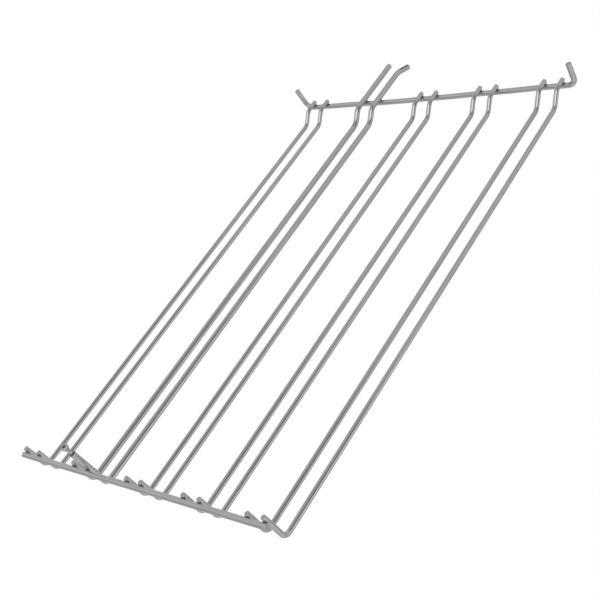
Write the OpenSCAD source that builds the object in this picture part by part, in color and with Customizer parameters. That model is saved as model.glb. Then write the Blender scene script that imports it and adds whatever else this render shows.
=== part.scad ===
// Side rack of a built-in oven: ten bent runner wires welded to two uprights.
// X runs from the oven's front to its back, Y from the wall into the oven, Z is up.
// The origin is the middle of the head of the front mounting stud.

/* [Levels] */
// Distance from level 1 to 2 and from level 2 to 3
upper_pitch = 63; // [56:0.5:70]
// Distance between the levels below level 3
lower_pitch = 61; // [54:0.5:70]
// Centre distance of the two runners of a level
pair_gap = 16; // [14:0.5:20]
// Centre distance of the two thick runners
mount_pair_gap = 16.5; // [14:0.5:20]

/* [Wire] */
// Diameter of the eight thin runners
runner_d = 3.8; // [3:0.1:4.2]
// Diameter of the two thick mounting runners
mount_d = 4.8; // [4.4:0.1:5.2]
// Diameter of the two uprights
upright_d = 4.5; // [4:0.1:5]
// How far two crossed wires sink into each other at a weld
weld_sink = 0.3; // [0.2:0.05:0.4]

/* [Runners] */
// From the front bend's corner to the start of the joggle
runner_l = 388; // [360:1:400]
// How much earlier the two mount runners' joggles start
mount_joggle_lead = 2.5; // [0:0.5:4]
// Height of the joggle, towards the wall
joggle_h = 8.6; // [7:0.1:10]
// Angle of the joggle to the runner
joggle_angle = 36.611; // [34.611:1:40.611]
// Straight end after the joggle
runner_end_l = 12; // [10:0.5:14]
// Length of the front tail, towards the wall
tail_l = 23.5; // [22.5:0.5:28]
// Outward lean of the front tail
tail_lean = 4.468; // [3.468:1:6.468]
// Centre-line radius of the front bend
front_bend_r = 4.8; // [4:0.1:6]
// Centre-line radius of the joggle bends
joggle_bend_r = 10; // [6:0.5:12]
// Centre-line radius of the mount runners' first joggle bend
mount_joggle_bend_r = 16; // [8:1:18]

/* [Rear rods] */
// Straight rod of the upper thick runner, past its joggle
straight_rod_l = 57; // [40:0.5:62]
// Rod of the lower thick runner, from its joggle to its bend
latch_rod_l = 46; // [30:0.5:48]
// Length of the bent latch end
latch_end_l = 15; // [10:1:18]
// Angle of the latch end, away from the wall
latch_angle = 20.5324; // [16.5324:1:28.5324]
// Centre-line radius of the latch bend
latch_bend_r = 20; // [8:1:24]

/* [Front stud] */
// From the runner's centre line to the shoulder of the stud
shoulder_l = 39; // [36:0.5:44]
// Length of the neck behind the shoulder
neck_l = 4; // [3:0.1:5]
// Diameter of the neck
neck_d = 2.7; // [2.4:0.1:3.2]
// Length of the cone from the neck to the head
flare_l = 4; // [2:0.1:5]
// Length of the head's round land
head_l = 1.2; // [1:0.1:2]
// Diameter of the head
head_d = 6; // [5.5:0.1:6.5]
// Depth of the dimple in the head
dimple_depth = 0.5; // [0.3:0.1:0.8]
// Width of the rim around the dimple
dimple_rim = 0.8; // [0.5:0.1:1.5]

/* [Uprights] */
// Front upright, from the runners' centre line towards the wall
front_upright_y = 20; // [18:0.5:20]
// How far the front upright stands past the outer runners
front_overhang = 3; // [2.5:0.5:6]
// From the front bends' corners to the rear upright
rear_upright_offset = 408.5; // [406:0.5:409]
// How far the rear upright runs up past the top runner
rear_overhang_top = 8.2; // [8:0.2:14]
// How far the rear upright runs down past the bottom runner
rear_overhang_bottom = 11.3; // [8:0.1:14]
// Length of the two spacer feet of the rear upright
foot_l = 20.7; // [16:0.1:24]
// Outward lean of the spacer feet
foot_lean = 4.468; // [3.468:1:6.468]
// Centre-line radius of the foot bends
foot_bend_r = 7.5; // [6:0.5:8]

/* [Welds] */
// Radius of the bead around the contact point of two crossed wires
weld_r = 2.3; // [1.8:0.1:2.6]

/* [Hidden] */
$fn = 48;
LEVELS = [1, 2, 3, 4, 5];
MOUNT_LEVEL = 2;
NECK_ROOT = 1;

// Colours
STEEL = [0.74, 0.75, 0.76];
UPRIGHT_STEEL = [0.66, 0.67, 0.68];
WELD_STEEL = [0.36, 0.36, 0.37];

// Radii
runner_r = runner_d / 2;
mount_r = mount_d / 2;
upright_r = upright_d / 2;

// Turns of the bends
front_turn = 90 - tail_lean;
foot_turn = 90 - foot_lean;

// The thick tails lie further back, so that all tails meet the front upright
mount_shift = (mount_r - runner_r) / cos(tail_lean);

// Front upright
front_reach = runner_r + upright_r - weld_sink;
front_upright_x = -front_upright_y * tan(tail_lean) - front_reach / cos(tail_lean);
front_weld_x = front_upright_x + (upright_r - weld_sink / 2) * cos(tail_lean);
front_weld_y = -front_upright_y - (upright_r - weld_sink / 2) * sin(tail_lean);

// Rear upright
mount_joggle_h = joggle_h + mount_r - runner_r;
rear_upright_y = runner_r + upright_r - weld_sink - joggle_h;
rear_weld_y = rear_upright_y - upright_r + weld_sink / 2;
bottom_z = runner_z(5, true);
rear_corner_top = rear_overhang_top;
rear_corner_bottom = bottom_z - rear_overhang_bottom;

// Stud and datum
stud_l = shoulder_l + neck_l + flare_l + head_l;
datum_l = stud_l - head_l / 2;
datum = [
    mount_shift - datum_l * sin(tail_lean),
    -datum_l * cos(tail_lean),
    runner_z(MOUNT_LEVEL, true),
];

// Height of a level's upper or lower runner above the top runner
function level_z(level) =
    level <= 3 ? -(level - 1) * upper_pitch
               : -2 * upper_pitch - (level - 3) * lower_pitch;

function runner_z(level, lower) =
    level_z(level) - (lower ? (level == MOUNT_LEVEL ? mount_pair_gap : pair_gap) : 0);

// Bend of a wire that runs along +X into the origin; a positive turn is to the left
module bend(turn, bend_r, r) {
    mirror([0, turn > 0 ? 0 : 1, 0])
    translate([0, bend_r, 0])
    rotate([0, 0, -90])
    rotate_extrude(angle = abs(turn))
    translate([bend_r, 0])
    circle(r = r);
}

// Takes its children to the end of such a bend
module past_bend(turn, bend_r) {
    side = turn > 0 ? 1 : -1;
    translate([0, side * bend_r, 0])
    rotate([0, 0, turn])
    translate([0, -side * bend_r, 0])
    children();
}

// Round wire from the origin along +X, with its straight legs and its turns in the XY plane
module bent_wire(legs, turns, radii, r, i = 0) {
    rotate([0, 90, 0])
    cylinder(r = r, h = legs[i]);
    if (i < len(turns))
        translate([legs[i], 0, 0]) {
            bend(turns[i], radii[i], r);
            past_bend(turns[i], radii[i])
            bent_wire(legs, turns, radii, r, i + 1);
        }
}

// Length that a bend takes from each leg, up to the legs' corner
function trim(turn, bend_r) = bend_r * tan(abs(turn) / 2);

front_trim = trim(front_turn, front_bend_r);
joggle_trim = trim(joggle_angle, joggle_bend_r);
mount_joggle_trim = trim(joggle_angle, mount_joggle_bend_r);
latch_trim = trim(latch_angle, latch_bend_r);
foot_trim = trim(foot_turn, foot_bend_r);

// Legs of a thin runner up to its joggle's end
THIN_LEGS = [
    tail_l - front_trim,
    runner_l - front_trim - joggle_trim,
    joggle_h / sin(joggle_angle) - 2 * joggle_trim,
];

// Legs of a mount runner up to its joggle's end, for a length of front tail
function mount_legs(tail) = [
    tail - front_trim,
    runner_l - mount_joggle_lead - mount_shift - front_trim - mount_joggle_trim,
    mount_joggle_h / sin(joggle_angle) - mount_joggle_trim - joggle_trim,
];

RUNNER_TURNS = [-front_turn, -joggle_angle, joggle_angle];
THIN_RADII = [front_bend_r, joggle_bend_r, joggle_bend_r];
MOUNT_RADII = [front_bend_r, mount_joggle_bend_r, joggle_bend_r];

// Puts the start of a wire at the tip of a front tail, heading for the front bend
module from_tail(tail, shift) {
    translate([shift - tail * sin(tail_lean), -tail * cos(tail_lean), 0])
    rotate([0, 0, front_turn])
    children();
}

// Thin runner: tail, front bend, runner, joggle and end
module thin_runner() {
    legs = concat(THIN_LEGS, [runner_end_l - joggle_trim]);
    from_tail(tail_l, 0)
    bent_wire(legs, RUNNER_TURNS, THIN_RADII, runner_r);
}

// Upper thick runner: its rear end runs on as a straight rod
module straight_mount_runner() {
    legs = concat(mount_legs(tail_l), [straight_rod_l - joggle_trim]);
    from_tail(tail_l, mount_shift)
    bent_wire(legs, RUNNER_TURNS, MOUNT_RADII, mount_r);
}

// Neck and head turned on the long front tail; the neck starts inside the tail
module stud_end() {
    head_r = head_d / 2;
    neck_r = neck_d / 2;
    land = neck_l + flare_l;
    top = land + head_l;
    rotate_extrude()
    polygon([
        [0, -NECK_ROOT],
        [neck_r, -NECK_ROOT],
        [neck_r, neck_l],
        [head_r, land],
        [head_r, top],
        [head_r - dimple_rim, top],
        [0, top - dimple_depth],
    ]);
}

// Lower thick runner: stud at the front, latch end at the rear
module latch_mount_runner() {
    legs = concat(
        mount_legs(shoulder_l),
        [latch_rod_l - joggle_trim - latch_trim, latch_end_l - latch_trim]
    );
    turns = concat(RUNNER_TURNS, [latch_angle]);
    radii = concat(MOUNT_RADII, [latch_bend_r]);
    from_tail(shoulder_l, mount_shift) {
        bent_wire(legs, turns, radii, mount_r);
        rotate([0, -90, 0])
        stud_end();
    }
}

module runner_solid(level, lower) {
    translate([0, 0, runner_z(level, lower)])
    if (level != MOUNT_LEVEL)
        thin_runner();
    else if (lower)
        latch_mount_runner();
    else
        straight_mount_runner();
}

module all_runner_solids() {
    for (level = LEVELS, lower = [false, true])
        runner_solid(level, lower);
}

module front_upright_bar() {
    translate([front_upright_x, -front_upright_y, bottom_z - front_overhang])
    cylinder(r = upright_r, h = 2 * front_overhang - bottom_z);
}

// The rear upright lies on the room side of the runner ends, its feet point to the wall
module rear_upright_bar() {
    legs = [
        foot_l - foot_trim,
        rear_corner_top - rear_corner_bottom - 2 * foot_trim,
        foot_l - foot_trim,
    ];
    foot_tip = [
        rear_corner_bottom - foot_l * sin(foot_lean),
        rear_upright_y - foot_l * cos(foot_lean),
        0,
    ];
    translate([rear_upright_offset, 0, 0])
    rotate([0, -90, 0])
    translate(foot_tip)
    rotate([0, 0, foot_turn])
    bent_wire(legs, [-foot_turn, -foot_turn], [foot_bend_r, foot_bend_r], upright_r);
}

// One bead at each crossing of a runner with an upright
module weld_beads(x, y) {
    for (level = LEVELS, lower = [false, true])
        translate([x, y, runner_z(level, lower)])
        sphere(r = weld_r);
}

module in_datum() {
    translate(-datum)
    children();
}

module runner(level, lower) {
    color(STEEL)
    in_datum()
    runner_solid(level, lower);
}

module front_upright() {
    color(UPRIGHT_STEEL)
    in_datum()
    difference() {
        front_upright_bar();
        all_runner_solids();
    }
}

module rear_upright() {
    color(UPRIGHT_STEEL)
    in_datum()
    difference() {
        rear_upright_bar();
        all_runner_solids();
    }
}

module front_welds() {
    color(WELD_STEEL)
    in_datum()
    difference() {
        weld_beads(front_weld_x, front_weld_y);
        front_upright_bar();
        all_runner_solids();
    }
}

module rear_welds() {
    color(WELD_STEEL)
    in_datum()
    difference() {
        weld_beads(rear_upright_offset, rear_weld_y);
        rear_upright_bar();
        all_runner_solids();
    }
}

runner(1, false);  // runner_1_upper
runner(1, true);  // runner_1_lower
runner(2, false);  // runner_2_upper
runner(2, true);  // runner_2_lower
runner(3, false);  // runner_3_upper
runner(3, true);  // runner_3_lower
runner(4, false);  // runner_4_upper
runner(4, true);  // runner_4_lower
runner(5, false);  // runner_5_upper
runner(5, true);  // runner_5_lower
front_upright();
rear_upright();
front_welds();
rear_welds();
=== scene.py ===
"""Side rack of an oven: ten runner wires and two uprights, drawn, bent, sheared and resistance welded."""
import math

import bmesh
import bpy
from mathutils import Matrix, Vector, noise


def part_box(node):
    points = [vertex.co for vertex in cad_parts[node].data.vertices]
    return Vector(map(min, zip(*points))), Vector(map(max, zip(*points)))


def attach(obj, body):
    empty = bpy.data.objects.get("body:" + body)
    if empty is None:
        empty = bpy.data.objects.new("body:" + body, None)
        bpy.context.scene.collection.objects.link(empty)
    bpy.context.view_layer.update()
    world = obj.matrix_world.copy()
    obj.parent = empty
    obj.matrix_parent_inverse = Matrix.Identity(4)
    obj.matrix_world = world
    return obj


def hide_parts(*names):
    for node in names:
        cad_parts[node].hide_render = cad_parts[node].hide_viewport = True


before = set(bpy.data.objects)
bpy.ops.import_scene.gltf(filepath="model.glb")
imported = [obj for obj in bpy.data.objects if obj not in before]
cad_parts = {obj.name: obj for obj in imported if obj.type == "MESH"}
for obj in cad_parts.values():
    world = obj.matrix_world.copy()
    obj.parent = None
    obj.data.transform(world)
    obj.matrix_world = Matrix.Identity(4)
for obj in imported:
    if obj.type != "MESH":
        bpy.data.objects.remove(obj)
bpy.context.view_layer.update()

MM = 0.001

# Wire radii, bends and end lengths, in metres and radians
THIN_R = 1.9 * MM
MOUNT_R = 2.4 * MM
UPRIGHT_R = 2.25 * MM
WELD_SINK = 0.3 * MM
TAIL_LEAN = math.radians(4.468)
JOGGLE_ANGLE = math.radians(36.611)
LATCH_ANGLE = math.radians(20.5324)
FRONT_BEND_R = 4.8 * MM
JOGGLE_BEND_R = 10 * MM
MOUNT_JOGGLE_BEND_R = 16 * MM
MOUNT_JOGGLE_LEAD = 2.5 * MM
LATCH_BEND_R = 20 * MM
FOOT_BEND_R = 7.5 * MM
THIN_END = 12 * MM
LATCH_END = 15 * MM

# The stud at the front end of the lower mount runner
NECK_R = 1.35 * MM
HEAD_R = 3 * MM
NECK_L = 4 * MM
FLARE_L = 4 * MM
LAND_L = 1.2 * MM
DIMPLE_RIM = 0.8 * MM
DIMPLE_DEPTH = 0.5 * MM

# The mesh of a wire
SIDES = 40
STRAIGHT_STEP = 4 * MM
BEND_STEP = math.radians(4)

# Unevenness left by drawing and bending
SKIN_LUMP = 0.003
WAVE = 0.07 * MM
WAVE_LENGTH = 110 * MM
SIDEWAYS_WAVE = 0.4
BEND_FLATTENING = 0.03

# Welds: how far the painted shade round each crossing reaches on the wires, how dark it is, and how far the
# beads reach
WELD_SHADE_REACH = 4.5 * MM
WELD_SHADE = 0.30
FRONT_BEAD = 2.0 * MM
REAR_BEAD = 2.25 * MM

# Painted shade in the stud's dimple and shoulder corner, and the darker wall side of the latch end: the most
# that each darkens, and the width of its soft edge
DIMPLE_SHADE = 1.3
SHOULDER_SHADE = 0.85
SHOULDER_SOFT = 0.8 * MM
LATCH_SIDE_DARK = 0.6
LATCH_SIDE_SOFT = 3 * MM

# How much longer than the design each front tail was sheared, from the top runner down
TAIL_VARIATION = [v * MM for v in (0.7, -0.4, 0.0, 0.0, -0.5, -0.4, -0.6, -0.5, -0.9, 0.9)]

# Welding has bowed the rear upright: (height, how far it stands off its straight line)
REAR_BOW = (
    (90 * MM, 0.0),
    (45 * MM, 0.25 * MM),
    (-20 * MM, 1.1 * MM),
    (-65 * MM, 0.7 * MM),
    (-120 * MM, 0.0),
    (-176 * MM, -0.8 * MM),
    (-200 * MM, -0.9 * MM),
)

# The rounded lip and dished face of a sheared end: (part of the radius, distance back from the end)
SHEARED_END = (
    (1.00, 0.34 * MM),
    (0.985, 0.16 * MM),
    (0.94, 0.05 * MM),
    (0.86, 0.0),
    (0.55, 0.06 * MM),
    (0.25, 0.11 * MM),
)
LIP = SHEARED_END[0][1]
DISH = SHEARED_END[-1][1]
FACE_PART = 0.9

# The darkest and lightest steel of the runners and of the uprights
RUNNER_DARK = (0.47, 0.47, 0.475)
RUNNER_LIGHT = (0.60, 0.60, 0.605)
UPRIGHT_DARK = (0.48, 0.48, 0.485)
UPRIGHT_LIGHT = (0.61, 0.61, 0.615)

# The photograph's viewpoint
CAMERA_PLACE = (-0.18887, -0.41671, -0.66757)
CAMERA_FORWARD = (0.44160, 0.54581, 0.71209)
CAMERA_UP = (0.73546, -0.67480, 0.06114)
CAMERA_LENS = 68.32
SENSOR_WIDTH = 36.0

FLOOR_LEVEL = -1.05
FLOOR_HALF = 12.0
ROOM_LIGHT = 0.67

RUNNERS = [f"runner_{level}_{side}" for level in (1, 2, 3, 4, 5) for side in ("upper", "lower")]
STRAIGHT_MOUNT = "runner_2_upper"
LATCH_MOUNT = "runner_2_lower"


# ---------------------------------------------------------------- places, from the frame


def height_of(name):
    """The height of a runner's centre line."""
    low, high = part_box(name)
    return (low[2] + high[2]) / 2


def tail_tip(name, radius):
    """The middle of a plain runner's sheared front end."""
    low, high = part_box(name)
    longer = TAIL_VARIATION[RUNNERS.index(name)]
    return Vector((
        low[0] + radius * math.cos(TAIL_LEAN) - longer * math.sin(TAIL_LEAN),
        low[1] + radius * math.sin(TAIL_LEAN) - longer * math.cos(TAIL_LEAN),
        height_of(name),
    ))


def runner_plane():
    """How far the runners' long lengths stand off the wall."""
    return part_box("runner_1_upper")[1][1] - THIN_R


def upright_centre(name, radius):
    """X and Y of an upright's long straight length."""
    low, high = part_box(name)
    return (low[0] + high[0]) / 2, high[1] - radius


def rear_bow(z):
    """How far the rear upright and the runners' rear ends stand off their straight line at a height."""
    for (above, first), (below, second) in zip(REAR_BOW, REAR_BOW[1:]):
        if below <= z <= above:
            part = (above - z) / (above - below)
            eased = part * part * (3 - 2 * part)
            return first + (second - first) * eased
    return 0.0


# ---------------------------------------------------------------- centre lines


class Station:
    """One ring of a wire: its place, heading, distance along the wire and share of a full bend."""

    def __init__(self, place, heading, along, bending):
        self.place = place
        self.heading = heading
        self.along = along
        self.bending = bending


def centre_line(corners, radii):
    """Stations along straight legs that are joined by arcs of the given radii."""
    stations = []
    along = 0.0
    here = corners[0]
    for index in range(1, len(corners)):
        corner = corners[index]
        heading = (corner - here).normalized()
        last = index == len(corners) - 1
        if last:
            leg_end = corner
        else:
            turned = (corners[index + 1] - corner).normalized()
            angle = heading.angle(turned)
            trim = radii[index - 1] * math.tan(angle / 2)
            leg_end = corner - heading * trim
        leg = (leg_end - here).length
        count = max(2, math.ceil(leg / STRAIGHT_STEP))
        for step in range(count + (1 if last else 0)):
            part = step / count
            stations.append(Station(here + heading * leg * part, heading, along + leg * part, 0.0))
        along += leg
        if last:
            break
        radius = radii[index - 1]
        axis = heading.cross(turned).normalized()
        middle = leg_end + axis.cross(heading) * radius
        steps = max(2, math.ceil(angle / BEND_STEP))
        for step in range(steps):
            turn = Matrix.Rotation(angle * step / steps, 3, axis)
            place = middle + turn @ (leg_end - middle)
            share = math.sin(math.pi * step / steps)
            stations.append(Station(place, turn @ heading, along + radius * angle * step / steps, share))
        along += radius * angle
        here = middle + Matrix.Rotation(angle, 3, axis) @ (leg_end - middle)
    return stations


def waver(stations, seed):
    """Moves the middle of a long wire off its line by a few hundredths of a millimetre."""
    length = stations[-1].along
    for station in stations:
        calm = math.sin(math.pi * station.along / length) ** 2
        for axis in (1, 2):
            drift = noise.noise(Vector((station.along / WAVE_LENGTH, seed, axis * 7.3)))
            station.place[axis] += WAVE * calm * drift * (SIDEWAYS_WAVE if axis == 1 else 1.0)


# ---------------------------------------------------------------- wire meshes


def smooth_object(name, mesh):
    """An object in the scene, made from a bmesh that isn't needed any more, with smooth shading."""
    data = bpy.data.meshes.new(name)
    mesh.to_mesh(data)
    mesh.free()
    data.shade_smooth()
    piece = bpy.data.objects.new(name, data)
    bpy.context.scene.collection.objects.link(piece)
    return piece


def ring_points(station, radius, side, up, seed):
    """One ring round a station, slightly flattened where the wire is bent."""
    points = []
    for k in range(SIDES):
        angle = 2 * math.pi * k / SIDES
        across = math.cos(angle)
        upward = math.sin(angle)
        lump = noise.noise(Vector((station.along * 40, across * 1.3 + seed, upward * 1.3)))
        r = radius * (1 - SKIN_LUMP + SKIN_LUMP * lump)
        flat = 1 - BEND_FLATTENING * station.bending * abs(across)
        place = station.place + side * across * r * flat + up * upward * r
        points.append((place, across * r, upward * r))
    return points


class WireMesh:
    """A tube that is built ring by ring, with the straight wire's own coordinates kept on every point."""

    def __init__(self, name, flat_normal, seed):
        self.name = name
        self.up = flat_normal.normalized()
        self.seed = seed
        self.mesh = bmesh.new()
        self.unbent = []
        self.cut = []
        self.rings = []

    def add_ring(self, station, radius, cut=0.0):
        side = station.heading.cross(self.up).normalized()
        ring = []
        for place, across, upward in ring_points(station, radius, side, self.up, self.seed):
            ring.append(self.mesh.verts.new(place))
            self.unbent.append((station.along, across, upward))
            self.cut.append(cut)
        if self.rings:
            before = self.rings[-1]
            for k in range(SIDES):
                n = (k + 1) % SIDES
                self.mesh.faces.new((before[k], before[n], ring[n], ring[k]))
        self.rings.append(ring)

    def add_length(self, stations, radius, start, end):
        """Rings at the stations between two distances along the wire."""
        for station in stations:
            if start < station.along < end:
                self.add_ring(station, radius)

    def add_sheared_end(self, last, radius):
        """The rounded lip and dished face that the shear has left on the wire's last end."""
        for part, back in SHEARED_END:
            self.add_ring(moved(last, back), radius * part, face_share(part))

    def close(self, station, first):
        """A fan of faces from the middle of an end face to its innermost ring."""
        tip = self.mesh.verts.new(station.place)
        self.unbent.append((station.along, 0.0, 0.0))
        self.cut.append(1.0)
        ring = self.rings[0] if first else self.rings[-1]
        for k in range(SIDES):
            n = (k + 1) % SIDES
            if first:
                self.mesh.faces.new((tip, ring[n], ring[k]))
            else:
                self.mesh.faces.new((tip, ring[k], ring[n]))

    def finish(self, shade_points, extra_marks=None):
        """The finished object, with its straight coordinates, cut faces, and painted shade and other dark
        marks as attributes.
        """
        bmesh.ops.recalc_face_normals(self.mesh, faces=self.mesh.faces)
        piece = smooth_object(self.name, self.mesh)
        data = piece.data
        darkness = [
            painted_shade_at(vertex.co, shade_points, unbent, extra_marks)
            for vertex, unbent in zip(data.vertices, self.unbent)
        ]
        straight = [value for point in self.unbent for value in point]
        data.attributes.new("unbent", "FLOAT_VECTOR", "POINT").data.foreach_set("vector", straight)
        data.attributes.new("cut", "FLOAT", "POINT").data.foreach_set("value", self.cut)
        data.attributes.new("shade_and_dark_marks", "FLOAT", "POINT").data.foreach_set("value", darkness)
        return piece


def painted_shade_at(place, shade_points, unbent, extra_marks):
    """How strongly painted shade round the welds, or another dark mark, darkens a point, from 0 to 1."""
    darkness = 0.0
    # Painted shade that fades out round each weld crossing
    for point in shade_points:
        away = (place - point).length / WELD_SHADE_REACH
        darkness = max(darkness, WELD_SHADE * math.exp(-away * away))
    if extra_marks:
        darkness = max(darkness, extra_marks(*unbent))
    return darkness


def moved(station, back):
    """A copy of a station, moved back along its own heading."""
    return Station(station.place - station.heading * back, station.heading, station.along - back, 0.0)


def face_share(part):
    """1 on the face of a sheared end and 0 on its lip, by the part of the radius."""
    return 1.0 if part < FACE_PART else 0.0


def sheared_wire(name, stations, radius, flat_normal, shade_points, seed):
    """A bent wire whose two ends are sheared off."""
    wire = WireMesh(name, flat_normal, seed)
    first, last = stations[0], stations[-1]
    for part, back in reversed(SHEARED_END):
        wire.add_ring(moved(first, -back), radius * part, face_share(part))
    wire.add_length(stations, radius, first.along + LIP, last.along - LIP)
    wire.add_sheared_end(last, radius)
    wire.close(moved(first, -DISH), True)
    wire.close(moved(last, DISH), False)
    return wire.finish(shade_points)


# ---------------------------------------------------------------- runners


def rear_line(radius):
    """Y of the runners' rear ends, sunk a little into the rear upright's wall side."""
    return upright_centre("rear_upright", UPRIGHT_R)[1] - UPRIGHT_R - radius + WELD_SINK


def runner_corners(tip, plane, joggle_x, rear_y, end_x):
    """Corner points of a runner: tail, long length, joggle and rear end."""
    front_x = tip.x + (plane - tip.y) * math.tan(TAIL_LEAN)
    bowed_y = rear_y + rear_bow(tip.z)
    joggle_run = (plane - bowed_y) / math.tan(JOGGLE_ANGLE)
    return [
        tip,
        Vector((front_x, plane, tip.z)),
        Vector((joggle_x, plane, tip.z)),
        Vector((joggle_x + joggle_run, bowed_y, tip.z)),
        Vector((end_x, bowed_y, tip.z)),
    ]


def joggle_start():
    """X of the corner where the thin runners' joggles start."""
    depth = runner_plane() - rear_line(THIN_R)
    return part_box("runner_1_upper")[1][0] - THIN_END - depth / math.tan(JOGGLE_ANGLE)


def weld_contacts(name):
    """The two points where a runner's surface meets the uprights."""
    z = height_of(name)
    front_x, front_y = upright_centre("front_upright", UPRIGHT_R)
    rear_x, rear_y = upright_centre("rear_upright", UPRIGHT_R)
    lean_x = UPRIGHT_R * math.cos(TAIL_LEAN)
    lean_y = UPRIGHT_R * math.sin(TAIL_LEAN)
    front = Vector((front_x + lean_x, front_y - lean_y, z))
    return front, Vector((rear_x, rear_y - UPRIGHT_R + rear_bow(z), z))


def plain_runner(name, radius, joggle_x, joggle_r, seed):
    """A runner that is sheared off at both ends."""
    end_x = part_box(name)[1][0]
    tip = tail_tip(name, radius)
    corners = runner_corners(tip, runner_plane(), joggle_x, rear_line(radius), end_x)
    stations = centre_line(corners, [FRONT_BEND_R, joggle_r, JOGGLE_BEND_R])
    waver(stations, seed)
    return sheared_wire(name + "_wire", stations, radius, Vector((0, 0, 1)), weld_contacts(name), seed)


def stud_rings():
    """Rings of the stud from the face of its head inwards: (distance back from the face, radius, cut)."""
    rim = HEAD_R - DIMPLE_RIM
    neck_end = LAND_L + FLARE_L
    return [
        (DIMPLE_DEPTH, 0.35 * MM, 1.0),
        (DIMPLE_DEPTH * 0.93, 0.8 * MM, 1.0),
        (DIMPLE_DEPTH * 0.62, 1.4 * MM, 0.9),
        (DIMPLE_DEPTH * 0.2, rim - 0.12 * MM, 0.6),
        (0.03 * MM, rim + 0.06 * MM, 0.2),
        (0.0, rim + 0.25 * MM, 0.0),
        (0.02 * MM, HEAD_R - 0.22 * MM, 0.0),
        (0.09 * MM, HEAD_R - 0.07 * MM, 0.0),
        (0.24 * MM, HEAD_R, 0.0),
        (LAND_L - 0.15 * MM, HEAD_R, 0.0),
        (LAND_L + 0.15 * MM, HEAD_R - 0.06 * MM, 0.0),
        (LAND_L + FLARE_L * 0.3, HEAD_R - (HEAD_R - NECK_R) * 0.3, 0.0),
        (LAND_L + FLARE_L * 0.6, HEAD_R - (HEAD_R - NECK_R) * 0.6, 0.0),
        (LAND_L + FLARE_L * 0.9, HEAD_R - (HEAD_R - NECK_R) * 0.9, 0.0),
        (neck_end + 0.2 * MM, NECK_R, 0.0),
        (neck_end + NECK_L * 0.5, NECK_R, 0.0),
        (neck_end + NECK_L - 0.28 * MM, NECK_R, 0.3),
        (neck_end + NECK_L - 0.06 * MM, NECK_R + 0.12 * MM, 0.5),
        (neck_end + NECK_L, NECK_R + 0.32 * MM, 0.4),
        (neck_end + NECK_L, MOUNT_R - 0.3 * MM, 0.3),
        (neck_end + NECK_L + 0.06 * MM, MOUNT_R - 0.1 * MM, 0.1),
        (neck_end + NECK_L + 0.22 * MM, MOUNT_R, 0.0),
    ]


def stud_painted_shade(along, across, upward):
    """Painted shade in the head's dimple and in the corner between neck and shoulder."""
    dimple = 0.0
    if along < LAND_L / 2:
        dimple = DIMPLE_SHADE * (1 - math.hypot(across, upward) / (HEAD_R - DIMPLE_RIM))
    neck_foot = LAND_L + FLARE_L + NECK_L - 0.5 * MM
    corner = SHOULDER_SHADE * math.exp(-((along - neck_foot) / SHOULDER_SOFT) ** 2)
    return min(1.0, max(dimple, corner, 0.0))


def latch_dark_side(from_end, across):
    """Darker on the side of the latch end that faces the wall."""
    if from_end > LATCH_END:
        return 0.0
    fade = min(1.0, (LATCH_END - from_end) / LATCH_SIDE_SOFT)
    return fade * max(0.0, min(LATCH_SIDE_DARK, 2.0 * (across / MOUNT_R - 0.4)))


def latch_mount_runner(name, seed):
    """The lower mount runner: stud at the front, bent latch rod at the rear."""
    plane = runner_plane()
    lean = Vector((-math.sin(TAIL_LEAN), -math.cos(TAIL_LEAN), 0))
    tip = lean * (LAND_L / 2)
    tip.z = height_of(name)
    rear_y = rear_line(MOUNT_R)
    latch_run = LATCH_END * math.cos(LATCH_ANGLE)
    latch_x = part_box(name)[1][0] - MOUNT_R * math.sin(LATCH_ANGLE) - latch_run
    corners = runner_corners(tip, plane, joggle_start() - MOUNT_JOGGLE_LEAD, rear_y, latch_x)
    latch_rise = Vector((latch_run, LATCH_END * math.sin(LATCH_ANGLE), 0))
    corners.append(corners[-1] + latch_rise)
    radii = [FRONT_BEND_R, MOUNT_JOGGLE_BEND_R, JOGGLE_BEND_R, LATCH_BEND_R]
    stations = centre_line(corners, radii)
    waver(stations, seed)
    wire = WireMesh(name + "_wire", Vector((0, 0, 1)), seed)
    first, last = stations[0], stations[-1]
    rings = stud_rings()
    for back, radius, cut in rings:
        wire.add_ring(moved(first, -back), radius, cut)
    stud_end = rings[-1][0]
    wire.add_length(stations, MOUNT_R, first.along + stud_end, last.along - LIP)
    wire.add_sheared_end(last, MOUNT_R)
    wire.close(moved(first, -DIMPLE_DEPTH), True)
    wire.close(moved(last, DISH), False)

    def marks(along, across, upward):
        return max(stud_painted_shade(along, across, upward), latch_dark_side(last.along - along, across))

    return wire.finish(weld_contacts(name), marks)


# ---------------------------------------------------------------- uprights and welds


def front_upright(seed):
    """The straight front upright."""
    low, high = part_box("front_upright")
    x, y = upright_centre("front_upright", UPRIGHT_R)
    stations = centre_line([Vector((x, y, low[2])), Vector((x, y, high[2]))], [])
    contacts = [weld_contacts(name)[0] for name in RUNNERS]
    return sheared_wire("front_upright_wire", stations, UPRIGHT_R, Vector((1, 0, 0)), contacts, seed)


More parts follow.
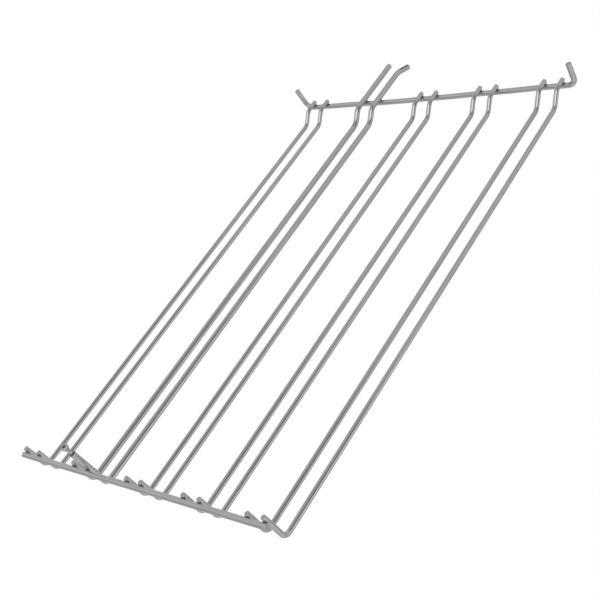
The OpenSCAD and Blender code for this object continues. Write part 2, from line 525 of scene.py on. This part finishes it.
def rear_upright(seed):
    """The rear upright, whose two ends are bent towards the wall as feet."""
    low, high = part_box("rear_upright")
    x, y = upright_centre("rear_upright", UPRIGHT_R)
    foot_y = low[1] + UPRIGHT_R * math.sin(TAIL_LEAN)
    spread = (y - foot_y) * math.tan(TAIL_LEAN)
    top = high[2] - UPRIGHT_R * math.cos(TAIL_LEAN)
    bottom = low[2] + UPRIGHT_R * math.cos(TAIL_LEAN)
    corners = [
        Vector((x, foot_y, top)),
        Vector((x, y, top - spread)),
        Vector((x, y, bottom + spread)),
        Vector((x, foot_y, bottom)),
    ]
    stations = centre_line(corners, [FOOT_BEND_R, FOOT_BEND_R])
    for station in stations:
        if station.place.y > y - FOOT_BEND_R:
            reach = min(1.0, (station.place.y - y + FOOT_BEND_R) / FOOT_BEND_R)
            station.place.y += rear_bow(station.place.z) * reach
    contacts = [weld_contacts(name)[1] for name in RUNNERS]
    return sheared_wire("rear_upright_wire", stations, UPRIGHT_R, Vector((1, 0, 0)), contacts, seed)


def weld_beads(name, contacts, along_runner, reach):
    """The metal squeezed out round each crossing: a lumpy collar round the contact point."""
    mesh = bmesh.new()
    for index, contact in enumerate(contacts):
        made = bmesh.ops.create_icosphere(mesh, subdivisions=4, radius=1.0)
        for vertex in made["verts"]:
            way = vertex.co.normalized()
            lump = noise.noise(way * 1.7 + Vector((index * 3.1, 0.4, 8.8)))
            grain = noise.noise(way * 6.0 + Vector((2.2, index * 5.7, 1.9)))
            longer = abs(way.dot(along_runner))
            size = reach * (0.90 + 0.09 * longer + 0.10 * lump + 0.025 * grain)
            vertex.co = contact + way * min(size, reach * 1.05)
    bmesh.ops.recalc_face_normals(mesh, faces=mesh.faces)
    return smooth_object(name, mesh)


# ---------------------------------------------------------------- materials


class Graph:
    """The node tree of a material or of the world, with short calls for adding and linking nodes."""

    def __init__(self, owner):
        owner.use_nodes = True
        self.tree = owner.node_tree
        self.tree.nodes.clear()

    def add(self, kind, **settings):
        made = self.tree.nodes.new(kind)
        for key, value in settings.items():
            setattr(made, key, value)
        return made

    def link(self, source, target):
        self.tree.links.new(source, target)

    def maths(self, operation, first, second):
        """One operation on two values, each a socket or a plain number."""
        made = self.add("ShaderNodeMath", operation=operation)
        for socket, value in zip(made.inputs, (first, second)):
            if isinstance(value, float):
                socket.default_value = value
            else:
                self.link(value, socket)
        return made.outputs[0]


class Nodes(Graph):
    """A material's nodes, which all end in one shader."""

    def __init__(self, name):
        self.material = bpy.data.materials.new(name)
        super().__init__(self.material)
        self.shader = self.add("ShaderNodeBsdfPrincipled")
        output = self.add("ShaderNodeOutputMaterial")
        self.link(self.shader.outputs[0], output.inputs[0])

    def attribute(self, name):
        return self.add("ShaderNodeAttribute", attribute_type="GEOMETRY", attribute_name=name)

    def noise(self, coordinates, scale, detail, roughness=0.5):
        """Noise over coordinates that are first scaled by three factors."""
        stretch = self.add("ShaderNodeVectorMath", operation="MULTIPLY")
        stretch.inputs[1].default_value = scale
        self.link(coordinates, stretch.inputs[0])
        made = self.add("ShaderNodeTexNoise")
        made.inputs["Scale"].default_value = 1.0
        made.inputs["Detail"].default_value = detail
        made.inputs["Roughness"].default_value = roughness
        self.link(stretch.outputs[0], made.inputs["Vector"])
        return made.outputs["Fac"]

    def ramp(self, factor, stops):
        """A colour that runs through the given stops: (position, colour)."""
        made = self.add("ShaderNodeValToRGB")
        elements = made.color_ramp.elements
        while len(elements) < len(stops):
            elements.new(0.5)
        for element, (position, colour) in zip(elements, stops):
            element.position = position
            element.color = (*colour, 1.0)
        self.link(factor, made.inputs["Fac"])
        return made.outputs["Color"]

    def mix(self, factor, first, second):
        """The first colour where the factor is 0, the second where it is 1."""
        made = self.add("ShaderNodeMix", data_type="RGBA", blend_type="MIX")
        colour_in = [socket for socket in made.inputs if socket.type == "RGBA"]
        self.link(factor, made.inputs[0])
        self.link(first, colour_in[0])
        self.link(second, colour_in[1])
        return next(socket for socket in made.outputs if socket.type == "RGBA")

    def remap(self, value, low, high, from_low=0.0, from_high=1.0):
        """The value, stretched from one range to another and held inside it."""
        made = self.add("ShaderNodeMapRange")
        made.inputs["From Min"].default_value = from_low
        made.inputs["From Max"].default_value = from_high
        made.inputs["To Min"].default_value = low
        made.inputs["To Max"].default_value = high
        self.link(value, made.inputs["Value"])
        return made.outputs["Result"]

    def bump(self, height, strength, distance, under=None):
        """A surface tilted by a height, over another bump if one is given."""
        made = self.add("ShaderNodeBump")
        made.inputs["Strength"].default_value = strength
        made.inputs["Distance"].default_value = distance
        self.link(height, made.inputs["Height"])
        if under:
            self.link(under, made.inputs["Normal"])
        return made.outputs["Normal"]


def drawn_steel(name, dark, light, smooth, rough):
    """Bright drawn wire: lines along the wire, faint clouds, painted shade round the welds and grey sheared
    faces.
    """
    nodes = Nodes(name)
    shader = nodes.shader
    unbent = nodes.attribute("unbent").outputs["Vector"]
    darkness = nodes.attribute("shade_and_dark_marks").outputs["Fac"]
    cut = nodes.attribute("cut").outputs["Fac"]
    lines = nodes.noise(unbent, (45, 2300, 2300), 3.0)
    clouds = nodes.noise(unbent, (38, 260, 260), 4.0, 0.6)
    grain = nodes.noise(unbent, (3800, 3800, 3800), 2.0)
    line_part = nodes.maths("MULTIPLY", lines, 0.45)
    marks = nodes.maths("ADD", line_part, nodes.maths("MULTIPLY", clouds, 0.55))
    metal = nodes.ramp(marks, ((0.3, dark), (0.7, light)))
    darkness_edge = nodes.maths("ADD", darkness, nodes.remap(clouds, -0.12, 0.12))
    # Painted shade round the welds and in the stud's hollows, and the darker side of the latch end, as
    # darker greys
    shade_colour = nodes.ramp(darkness_edge, (
        (0.30, (0.44, 0.435, 0.43)),
        (0.55, (0.20, 0.195, 0.19)),
        (0.80, (0.09, 0.09, 0.092)),
        (1.00, (0.04, 0.04, 0.04)),
    ))
    sheared = nodes.ramp(grain, ((0.3, (0.46, 0.46, 0.455)), (0.7, (0.60, 0.60, 0.59))))
    bare = nodes.mix(cut, metal, sheared)
    covered = nodes.remap(darkness_edge, 0.0, 1.0, 0.22, 0.50)
    nodes.link(nodes.mix(covered, bare, shade_colour), shader.inputs["Base Color"])
    worn = nodes.remap(marks, smooth, rough, 0.3, 0.7)
    rougher = nodes.maths("ADD", worn, nodes.maths("MULTIPLY", darkness, 0.22))
    torn = nodes.maths("ADD", rougher, nodes.maths("MULTIPLY", cut, 0.28))
    nodes.link(torn, shader.inputs["Roughness"])
    shader.inputs["Metallic"].default_value = 1.0
    drawn = nodes.bump(lines, 0.06, 0.02 * MM)
    nodes.link(nodes.bump(grain, 0.03, 0.01 * MM, drawn), shader.inputs["Normal"])
    return nodes.material


def weld_metal():
    """Squeezed-out weld metal: rough, with clouds of dark scale that also paint the shade at each crossing.
    """
    nodes = Nodes("weld_metal")
    place = nodes.add("ShaderNodeTexCoord").outputs["Object"]
    clouds = nodes.noise(place, (420, 420, 420), 4.0, 0.6)
    grain = nodes.noise(place, (3600, 3600, 3600), 3.0)
    colour = nodes.ramp(clouds, (
        (0.30, (0.075, 0.073, 0.074)),
        (0.52, (0.16, 0.155, 0.155)),
        (0.72, (0.34, 0.33, 0.325)),
    ))
    nodes.link(colour, nodes.shader.inputs["Base Color"])
    nodes.link(nodes.remap(clouds, 0.38, 0.62, 0.3, 0.7), nodes.shader.inputs["Roughness"])
    nodes.shader.inputs["Metallic"].default_value = 0.9
    lumps = nodes.bump(clouds, 0.35, 0.10 * MM)
    nodes.link(nodes.bump(grain, 0.25, 0.03 * MM, lumps), nodes.shader.inputs["Normal"])
    return nodes.material


def floor_material():
    """Matt pale paint with very faint clouds."""
    nodes = Nodes("pale_floor")
    place = nodes.add("ShaderNodeTexCoord").outputs["Object"]
    clouds = nodes.noise(place, (1.3, 1.3, 1.3), 3.0)
    colour = nodes.ramp(clouds, ((0.3, (0.74, 0.74, 0.74)), (0.7, (0.77, 0.77, 0.77))))
    nodes.link(colour, nodes.shader.inputs["Base Color"])
    nodes.shader.inputs["Roughness"].default_value = 0.9
    return nodes.material


# ---------------------------------------------------------------- studio


def make_camera():
    """The camera stands on the wall side of the rack, below it, and looks up."""
    data = bpy.data.cameras.new("camera")
    data.sensor_width = SENSOR_WIDTH
    data.lens = CAMERA_LENS
    data.clip_start = 0.05
    data.clip_end = 50.0
    camera = bpy.data.objects.new("camera", data)
    bpy.context.scene.collection.objects.link(camera)
    forward = Vector(CAMERA_FORWARD).normalized()
    right = forward.cross(Vector(CAMERA_UP)).normalized()
    turn = Matrix((right, right.cross(forward), -forward)).transposed()
    camera.matrix_world = Matrix.Translation(Vector(CAMERA_PLACE)) @ turn.to_4x4()
    bpy.context.scene.camera = camera


def area_light(name, place, aim, size, power):
    """A round soft light, which the wires don't mirror."""
    data = bpy.data.lights.new(name, "AREA")
    data.shape = "DISK"
    data.size = size
    data.energy = power
    light = bpy.data.objects.new(name, data)
    light.location = place
    light.rotation_euler = (Vector(aim) - Vector(place)).to_track_quat("-Z", "Y").to_euler()
    light.visible_glossy = False
    bpy.context.scene.collection.objects.link(light)


class WorldGraph(Graph):
    """The world's nodes: brightness as a smooth function of direction."""

    def __init__(self, world):
        super().__init__(world)
        self.way = self.add("ShaderNodeTexCoord").outputs["Generated"]

    def lobe(self, centre, edge, core, amount):
        """A soft round patch of light round a direction, from the cosine at its edge to that at its core."""
        dot = self.add("ShaderNodeVectorMath", operation="DOT_PRODUCT")
        dot.inputs[1].default_value = Vector(centre).normalized()
        self.link(self.way, dot.inputs[0])
        return self.span(dot.outputs["Value"], edge, core, amount)

    def band(self, low, high, soft, amount):
        """A soft band of directions between two values of X."""
        split = self.add("ShaderNodeSeparateXYZ")
        self.link(self.way, split.inputs[0])
        rise = self.span(split.outputs["X"], low - soft, low, 1.0)
        fall = self.span(split.outputs["X"], high + soft, high, amount)
        return self.maths("MULTIPLY", rise, fall)

    def span(self, value, start, end, amount):
        """0 at start, amount at end, with a smooth step between."""
        made = self.add("ShaderNodeMapRange", interpolation_type="SMOOTHSTEP")
        rising = start < end
        made.inputs["From Min"].default_value = start if rising else end
        made.inputs["From Max"].default_value = end if rising else start
        made.inputs["To Min"].default_value = 0.0 if rising else amount
        made.inputs["To Max"].default_value = amount if rising else 0.0
        self.link(value, made.inputs["Value"])
        return made.outputs["Result"]

    def finish(self, parts):
        """White to the camera, the sum of the parts to everything else."""
        strength = parts[0]
        for part in parts[1:]:
            strength = self.maths("ADD", strength, part)
        path = self.add("ShaderNodeLightPath")
        seen = self.maths("MAXIMUM", path.outputs["Is Camera Ray"], strength)
        background = self.add("ShaderNodeBackground")
        background.inputs["Color"].default_value = (1.0, 1.0, 1.0, 1.0)
        self.link(seen, background.inputs["Strength"])
        output = self.add("ShaderNodeOutputWorld")
        self.link(background.outputs[0], output.inputs[0])


def make_world():
    """A pale room with a softbox, a strip, two fills, three dimmer walls and a dark stand by the camera."""
    world = bpy.data.worlds.new("studio")
    bpy.context.scene.world = world
    graph = WorldGraph(world)
    softbox = graph.lobe((-0.50, -0.80, -0.33), 0.85, 0.975, 0.95)
    low_fill = graph.lobe((-0.35, 0.42, -0.84), 0.70, 0.96, 0.16)
    top_fill = graph.lobe((-0.15, -0.68, 0.72), 0.84, 0.98, 0.07)
    dim_corner = graph.lobe((-0.68, 0.05, 0.73), 0.76, 0.96, -0.15)
    dim_side = graph.lobe((0.38, -0.82, 0.43), 0.74, 0.97, -0.10)
    dim_far = graph.lobe((0.42, 0.86, -0.25), 0.60, 0.95, -0.13)
    stand = graph.maths(
        "MULTIPLY",
        graph.lobe((0.24, -0.62, -0.75), 0.72, 0.94, 1.0),
        graph.band(-0.10, 0.38, 0.10, -0.38),
    )
    strip = graph.maths(
        "MULTIPLY",
        graph.lobe((0.30, 0.22, -0.93), 0.90, 0.985, 1.0),
        graph.band(0.0, 0.42, 0.08, 0.40),
    )
    fills = [low_fill, top_fill]
    dims = [dim_corner, dim_side, dim_far]
    graph.finish([softbox, *fills, *dims, stand, strip, ROOM_LIGHT])
    bpy.context.scene.view_settings.view_transform = "Standard"


def make_floor():
    """A plain pale floor, below the rack and the camera."""
    mesh = bmesh.new()
    turns = ((-1, -1), (1, -1), (1, 1), (-1, 1))
    mesh.faces.new([mesh.verts.new((x * FLOOR_HALF, y * FLOOR_HALF, FLOOR_LEVEL)) for x, y in turns])
    floor = smooth_object("floor", mesh)
    floor.data.materials.append(floor_material())
    floor.visible_glossy = False


# ---------------------------------------------------------------- the rack


def add_piece(piece, node, material):
    """Puts a piece in place of its CAD node, with its material."""
    piece.data.materials.append(material)
    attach(piece, "root")
    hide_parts(node)


def make_rack():
    """All the wires, and the weld beads between them."""
    runner_steel = drawn_steel("runner_wire", RUNNER_DARK, RUNNER_LIGHT, 0.10, 0.17)
    mount_steel = drawn_steel("mount_wire", RUNNER_DARK, RUNNER_LIGHT, 0.09, 0.16)
    upright_steel = drawn_steel("upright_wire", UPRIGHT_DARK, UPRIGHT_LIGHT, 0.13, 0.20)
    for seed, name in enumerate(RUNNERS):
        if name == STRAIGHT_MOUNT:
            joggle_x = joggle_start() - MOUNT_JOGGLE_LEAD
            wire = plain_runner(name, MOUNT_R, joggle_x, MOUNT_JOGGLE_BEND_R, seed)
            add_piece(wire, name, mount_steel)
        elif name == LATCH_MOUNT:
            add_piece(latch_mount_runner(name, seed), name, mount_steel)
        else:
            wire = plain_runner(name, THIN_R, joggle_start(), JOGGLE_BEND_R, seed)
            add_piece(wire, name, runner_steel)
    add_piece(front_upright(21), "front_upright", upright_steel)
    add_piece(rear_upright(22), "rear_upright", upright_steel)
    beads = weld_metal()
    fronts = [weld_contacts(name)[0] for name in RUNNERS]
    rears = [weld_contacts(name)[1] for name in RUNNERS]
    front_beads = weld_beads("front_weld_beads", fronts, Vector((0, 1, 0)), FRONT_BEAD)
    rear_beads = weld_beads("rear_weld_beads", rears, Vector((1, 0, 0)), REAR_BEAD)
    add_piece(front_beads, "front_welds", beads)
    add_piece(rear_beads, "rear_welds", beads)


make_camera()
make_world()
make_floor()
area_light("overhead_softbox", place=(0.2, -0.4, 1.9), aim=(0.2, 0.0, -0.1), size=1.6, power=60.0)
make_rack()
